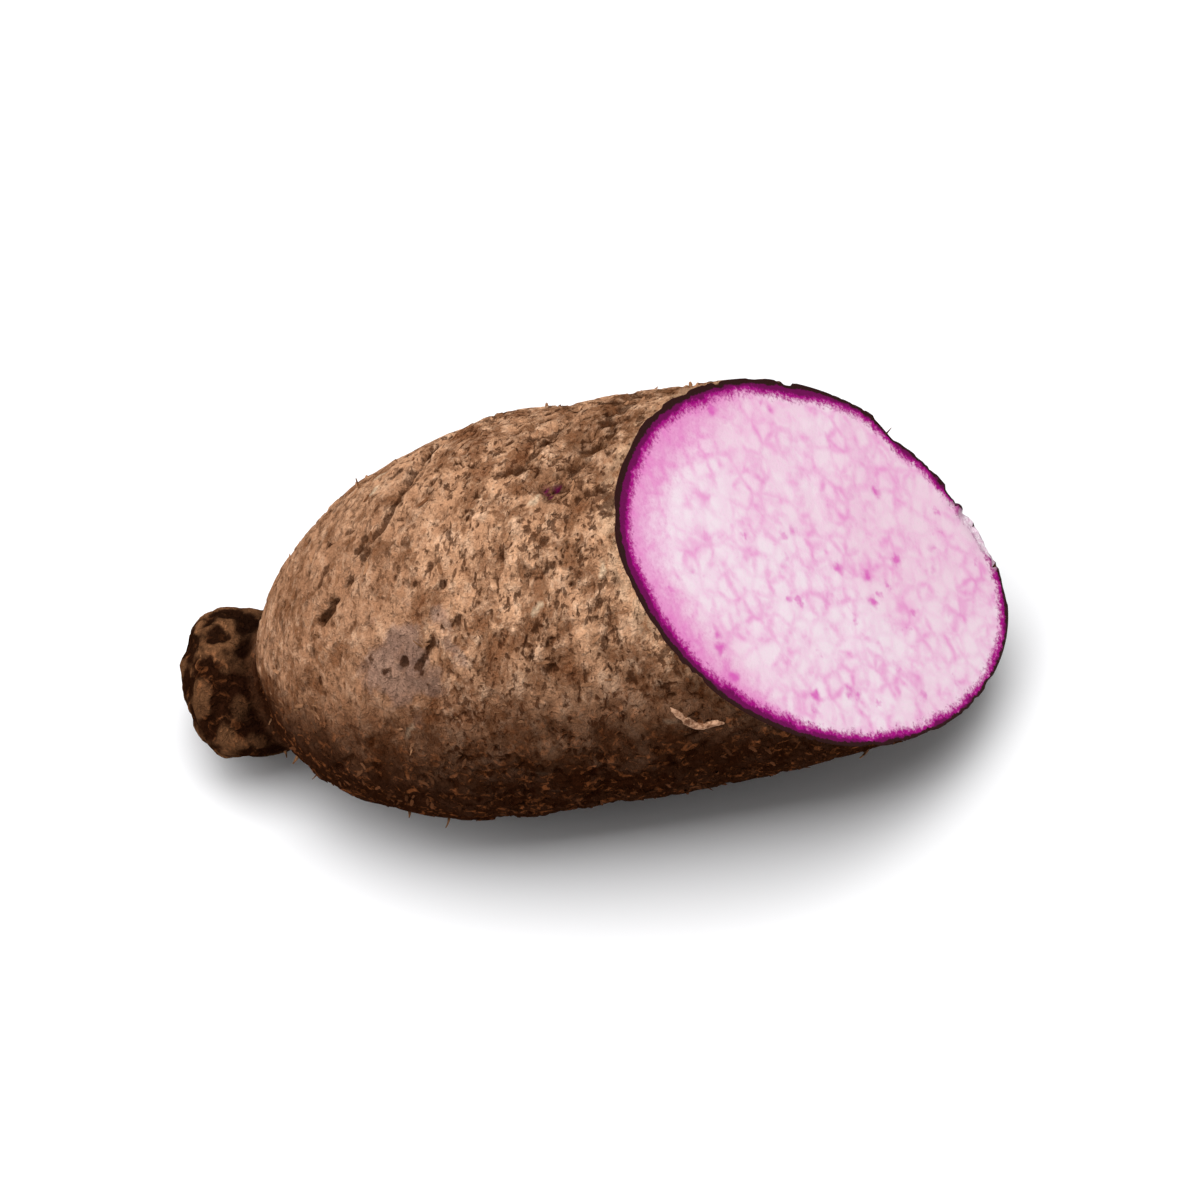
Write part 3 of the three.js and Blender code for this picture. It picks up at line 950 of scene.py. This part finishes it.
flakes = Tree(
    "skin_flakes",
    Length=FLAKE_LENGTH * MM,
    Width=FLAKE_WIDTH * MM,
    Thickness=FLAKE_THICKNESS * MM,
    Curl=FLAKE_CURL,
    Density=FLAKES_PER_CM2 * 10000,
    Seed=FLAKE_SEED,
)
flaking_share = flakes.node("GeometryNodeInputNamedAttribute", {0: "flaking"})
flake_room = flakes.node("GeometryNodeInputNamedAttribute", {0: "room"})
flake_reach = flakes.maths("MULTIPLY", flakes.given["Length"], FLAKE_ROOM)
flake_room = flakes.maths("GREATER_THAN", flake_room, flake_reach)
flaking_share = flakes.maths("MULTIPLY", flaking_share, flake_room)
spread = flakes.maths("MULTIPLY", flaking_share, flakes.given["Density"])
scatter = {0: flakes.given["Geometry"], 4: spread, 6: flakes.given["Seed"]}
spots = flakes.node("GeometryNodeDistributePointsOnFaces", scatter)
upright = spots.node.outputs["Rotation"]
turned = flakes.random((-0.25, -0.10, -0.7), (0.25, 0.45, 0.7), 1, "FLOAT_VECTOR")
hoop_way = flakes.node("FunctionNodeAlignRotationToVector", {
    0: upright,
    2: tuple(np.cross(GRAIN_NORMAL, (0.3, 0.2, 1.0))),
}, axis="X", pivot_axis="Z")
turned = flakes.node("FunctionNodeEulerToRotation", {0: turned})
settled = flakes.node("FunctionNodeRotateRotation", {0: hoop_way, 1: turned}, rotation_space="LOCAL")
ball = flakes.node("GeometryNodeMeshIcoSphere", {0: 0.5, 1: 1})
spot = flakes.node("GeometryNodeInputPosition")
parts = flakes.node("ShaderNodeSeparateXYZ", {0: spot})
bent = flakes.maths("MULTIPLY", parts, parts)
bent = flakes.maths("MULTIPLY", bent, flakes.given["Curl"])
lift = flakes.node("ShaderNodeCombineXYZ", {2: bent})
flat_size = {0: flakes.given["Length"], 1: flakes.given["Width"], 2: flakes.given["Thickness"]}
flat = flakes.node("ShaderNodeCombineXYZ", flat_size)
scale = flakes.node("ShaderNodeVectorMath", {0: spot, 1: flat}, operation="MULTIPLY")
raised = flakes.node("ShaderNodeVectorMath", {
    0: lift,
    3: flakes.given["Length"],
}, operation="SCALE")
shaped = flakes.node("ShaderNodeVectorMath", {0: scale, 1: raised}, operation="ADD")
flake = flakes.node("GeometryNodeSetPosition", {0: ball, 2: shaped})
size = flakes.random(0.35, 1.1, 2)
laid = flakes.node("GeometryNodeInstanceOnPoints", {0: spots, 2: flake, 5: settled, 6: size})
flakes.result = flakes.node("GeometryNodeStoreNamedAttribute", {
    0: laid,
    2: "paleness",
    3: flakes.random(0.0, 1.0, 3),
}, data_type="FLOAT", domain="INSTANCE")

flake_finish = Finish("loose_cork", Roughness=0.95, Specular_IOR_Level=0.0)
paleness = flake_finish.attribute("paleness")
flake_grit = flake_finish.speckle(0.4, 4, 0.65)
flake_underside_shade = flake_finish.attribute("underside_shade")
cork = (paleness * 0.7 + 0.6 * flake_grit - 0.1).clear_step(0.1, 0.9)
upper_cork = cork.mix(colour(96, 60, 38), colour(160, 117, 86))
# Painted shade: flakes on the underside are coloured dark to match the painted shade of the skin
# there.
shaded_cork = cork.mix(colour(36, 17, 8), colour(92, 56, 35))
cork = flake_underside_shade.mix(upper_cork, shaded_cork)
flake_finish.feed("Base Color", (0.6 + 0.8 * flake_grit).shade(cork))
flake_finish.bump(flake_grit, 0.3)
flakes.grow("skin_flakes", tuber, flake_finish)

# ---- Root stubs ----------------------------------------------------------------------
# Short wiry stubs of the fine roots that grew all over the skin, broken off as the tuber
# was dug. Each leans its own way and grows out of the cork.

STUB_LENGTH, STUB_RADIUS = 1.9, 0.30
STUB_BEND = 0.35
STUB_ROOM, STUB_THINNING, STUB_SINK = 1.35, 0.35, -0.12
STUBS_PER_CM2 = 0.2
STUB_SEED = 11

stubs = Tree(
    "root_stubs",
    Length=STUB_LENGTH * MM,
    Radius=STUB_RADIUS * MM,
    Bend=STUB_BEND,
    Density=STUBS_PER_CM2 * 10000,
    Seed=STUB_SEED,
)
stub_room = stubs.node("GeometryNodeInputNamedAttribute", {0: "room"})
stub_reach = stubs.maths("MULTIPLY", stubs.given["Length"], STUB_ROOM)
stub_room = stubs.maths("GREATER_THAN", stub_room, stub_reach)
spread = stubs.maths("MULTIPLY", stub_room, stubs.given["Density"])
scatter = {0: stubs.given["Geometry"], 4: spread, 6: stubs.given["Seed"]}
spots = stubs.node("GeometryNodeDistributePointsOnFaces", scatter)
lean = stubs.random((-0.8, -0.8, -3.1), (0.8, 0.8, 3.1), 1, "FLOAT_VECTOR")
lean = stubs.node("FunctionNodeEulerToRotation", {0: lean})
leaning = {0: spots.node.outputs["Rotation"], 1: lean}
leaning = stubs.node("FunctionNodeRotateRotation", leaning, rotation_space="LOCAL")
thin = stubs.maths("MULTIPLY", stubs.given["Radius"], STUB_THINNING)
spike = stubs.node("GeometryNodeMeshCone", {
    0: 5,
    1: 4,
    3: thin,
    4: stubs.given["Radius"],
    5: stubs.given["Length"],
})
spot = stubs.node("GeometryNodeInputPosition")
height = stubs.node("ShaderNodeSeparateXYZ", {0: spot}, output=2)
bow = stubs.maths("DIVIDE", stubs.maths("MULTIPLY", height, height), stubs.given["Length"])
bow = stubs.maths("MULTIPLY", bow, stubs.given["Bend"])
root_sink = stubs.maths("MULTIPLY", stubs.given["Length"], STUB_SINK)
bow = stubs.node("ShaderNodeCombineXYZ", {0: bow, 2: root_sink})
spike = stubs.node("GeometryNodeSetPosition", {0: spike, 3: bow})
size = stubs.node("ShaderNodeCombineXYZ", {
    0: stubs.random(0.7, 1.6, 2),
    1: stubs.random(0.7, 1.6, 3),
    2: stubs.random(0.25, 1.3, 4),
})
stubs.result = stubs.node(
    "GeometryNodeInstanceOnPoints", {0: spots, 2: spike, 5: leaning, 6: size}
)

stub_finish = Finish("wiry_root", Roughness=0.9, Specular_IOR_Level=0.05)
stub_shade = stub_finish.speckle(0.5, 4, 0.65)
stub_bark = stub_shade.clear_step(0.35, 0.65).mix(colour(58, 34, 21), colour(150, 108, 76))
stub_finish.feed("Base Color", stub_bark)
stub_finish.bump(stub_shade, 0.15)
stubs.grow("root_stubs", tuber, stub_finish)

# ---- Rootlet -------------------------------------------------------------------------
# One longer rootlet, pale where its bark has gone, that lies flat along the front flank
# near the cut, pressed into the skin. It is a thin flattened strand with split ends.

ROOTLET_STATION, ROOTLET_RUN = 80, 11
ROOTLET_TURN, ROOTLET_FALL, ROOTLET_WAVE = 6, 11, 0.7
ROOTLET_WIDTH, ROOTLET_THICKNESS = 1.8, 1.2
ROOTLET_PROUD = 0.2
ROOTLET_RINGS, ROOTLET_SIDES = 60, 14

share = np.linspace(0, 1, ROOTLET_RINGS)
path_stations = ROOTLET_STATION + ROOTLET_RUN * share
path_turns = ROOTLET_TURN + ROOTLET_FALL * np.exp(-3 * share) + ROOTLET_WAVE * np.sin(9 * share)
path_turns = np.radians(path_turns)
radial = np.stack([0 * path_turns, -np.cos(path_turns), np.sin(path_turns)], -1)
reach = body_radius(path_stations) + broad_relief(path_stations, np.degrees(path_turns))
strand = axis_point(path_stations) + radial * (reach + ROOTLET_PROUD - SKIN_SINK)[:, None]
onward = np.gradient(strand, axis=0)
onward /= np.linalg.norm(onward, axis=-1, keepdims=True)
sideways = np.cross(onward, radial)
sideways /= np.linalg.norm(sideways, axis=-1, keepdims=True)
off_skin = np.cross(sideways, onward)
girth = (1 - np.abs(2 * share - 1) ** 5) ** 0.5 * (1.05 - 0.35 * share)
girth = girth * (1 + 0.22 * noise(strand / 1.6, 91))
girth[[0, -1]] = 0.12
angle = np.linspace(0, 2 * np.pi, ROOTLET_SIDES, endpoint=False)
groove = 1 + 0.10 * np.cos(3 * angle + 1) + 0.06 * np.cos(7 * angle)
across = (np.cos(angle) * groove)[None, :, None] * sideways[:, None] * ROOTLET_WIDTH / 2
proud = (np.sin(angle) * groove)[None, :, None] * off_skin[:, None] * ROOTLET_THICKNESS / 2
strand_rings = strand[:, None] + (across + proud) * girth[:, None, None]
ring, side = np.meshgrid(np.arange(ROOTLET_RINGS - 1), np.arange(ROOTLET_SIDES), indexing="ij")
here = ring * ROOTLET_SIDES + side
beside = ring * ROOTLET_SIDES + (side + 1) % ROOTLET_SIDES
strand_faces = np.stack([here, beside, beside + ROOTLET_SIDES, here + ROOTLET_SIDES], -1)
strand_faces = strand_faces.reshape(-1, 4).tolist()
strand_faces.append(list(range(ROOTLET_SIDES))[::-1])
strand_faces.append([(ROOTLET_RINGS - 1) * ROOTLET_SIDES + k for k in range(ROOTLET_SIDES)])
rootlet_mesh = bpy.data.meshes.new("rootlet")
strand_points = (strand_rings.reshape(-1, 3) + to_frame) * MM
rootlet_mesh.from_pydata(strand_points.tolist(), [], strand_faces)
rootlet_mesh.shade_smooth()

rootlet_finish = Finish("pale_rootlet", Roughness=0.85, Specular_IOR_Level=0.15)
strands = rootlet_finish.speckle(0.45, 4, 0.65, 0.5)
fray = rootlet_finish.speckle(1.3, 4, 0.6, shift=2.0)
rootlet_bark = strands.clear_step(0.36, 0.62).mix(colour(128, 86, 60), colour(206, 160, 128))
rootlet_bark = fray.clear_step(0.56, 0.66).mix(rootlet_bark, colour(104, 66, 44))
rootlet_finish.feed("Base Color", rootlet_bark)
rootlet_finish.bump(strands, 0.25)
rootlet_mesh.materials.append(rootlet_finish.material)
rootlet = bpy.data.objects.new("rootlet", rootlet_mesh)
studio.collection.objects.link(rootlet)
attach(rootlet, "root")
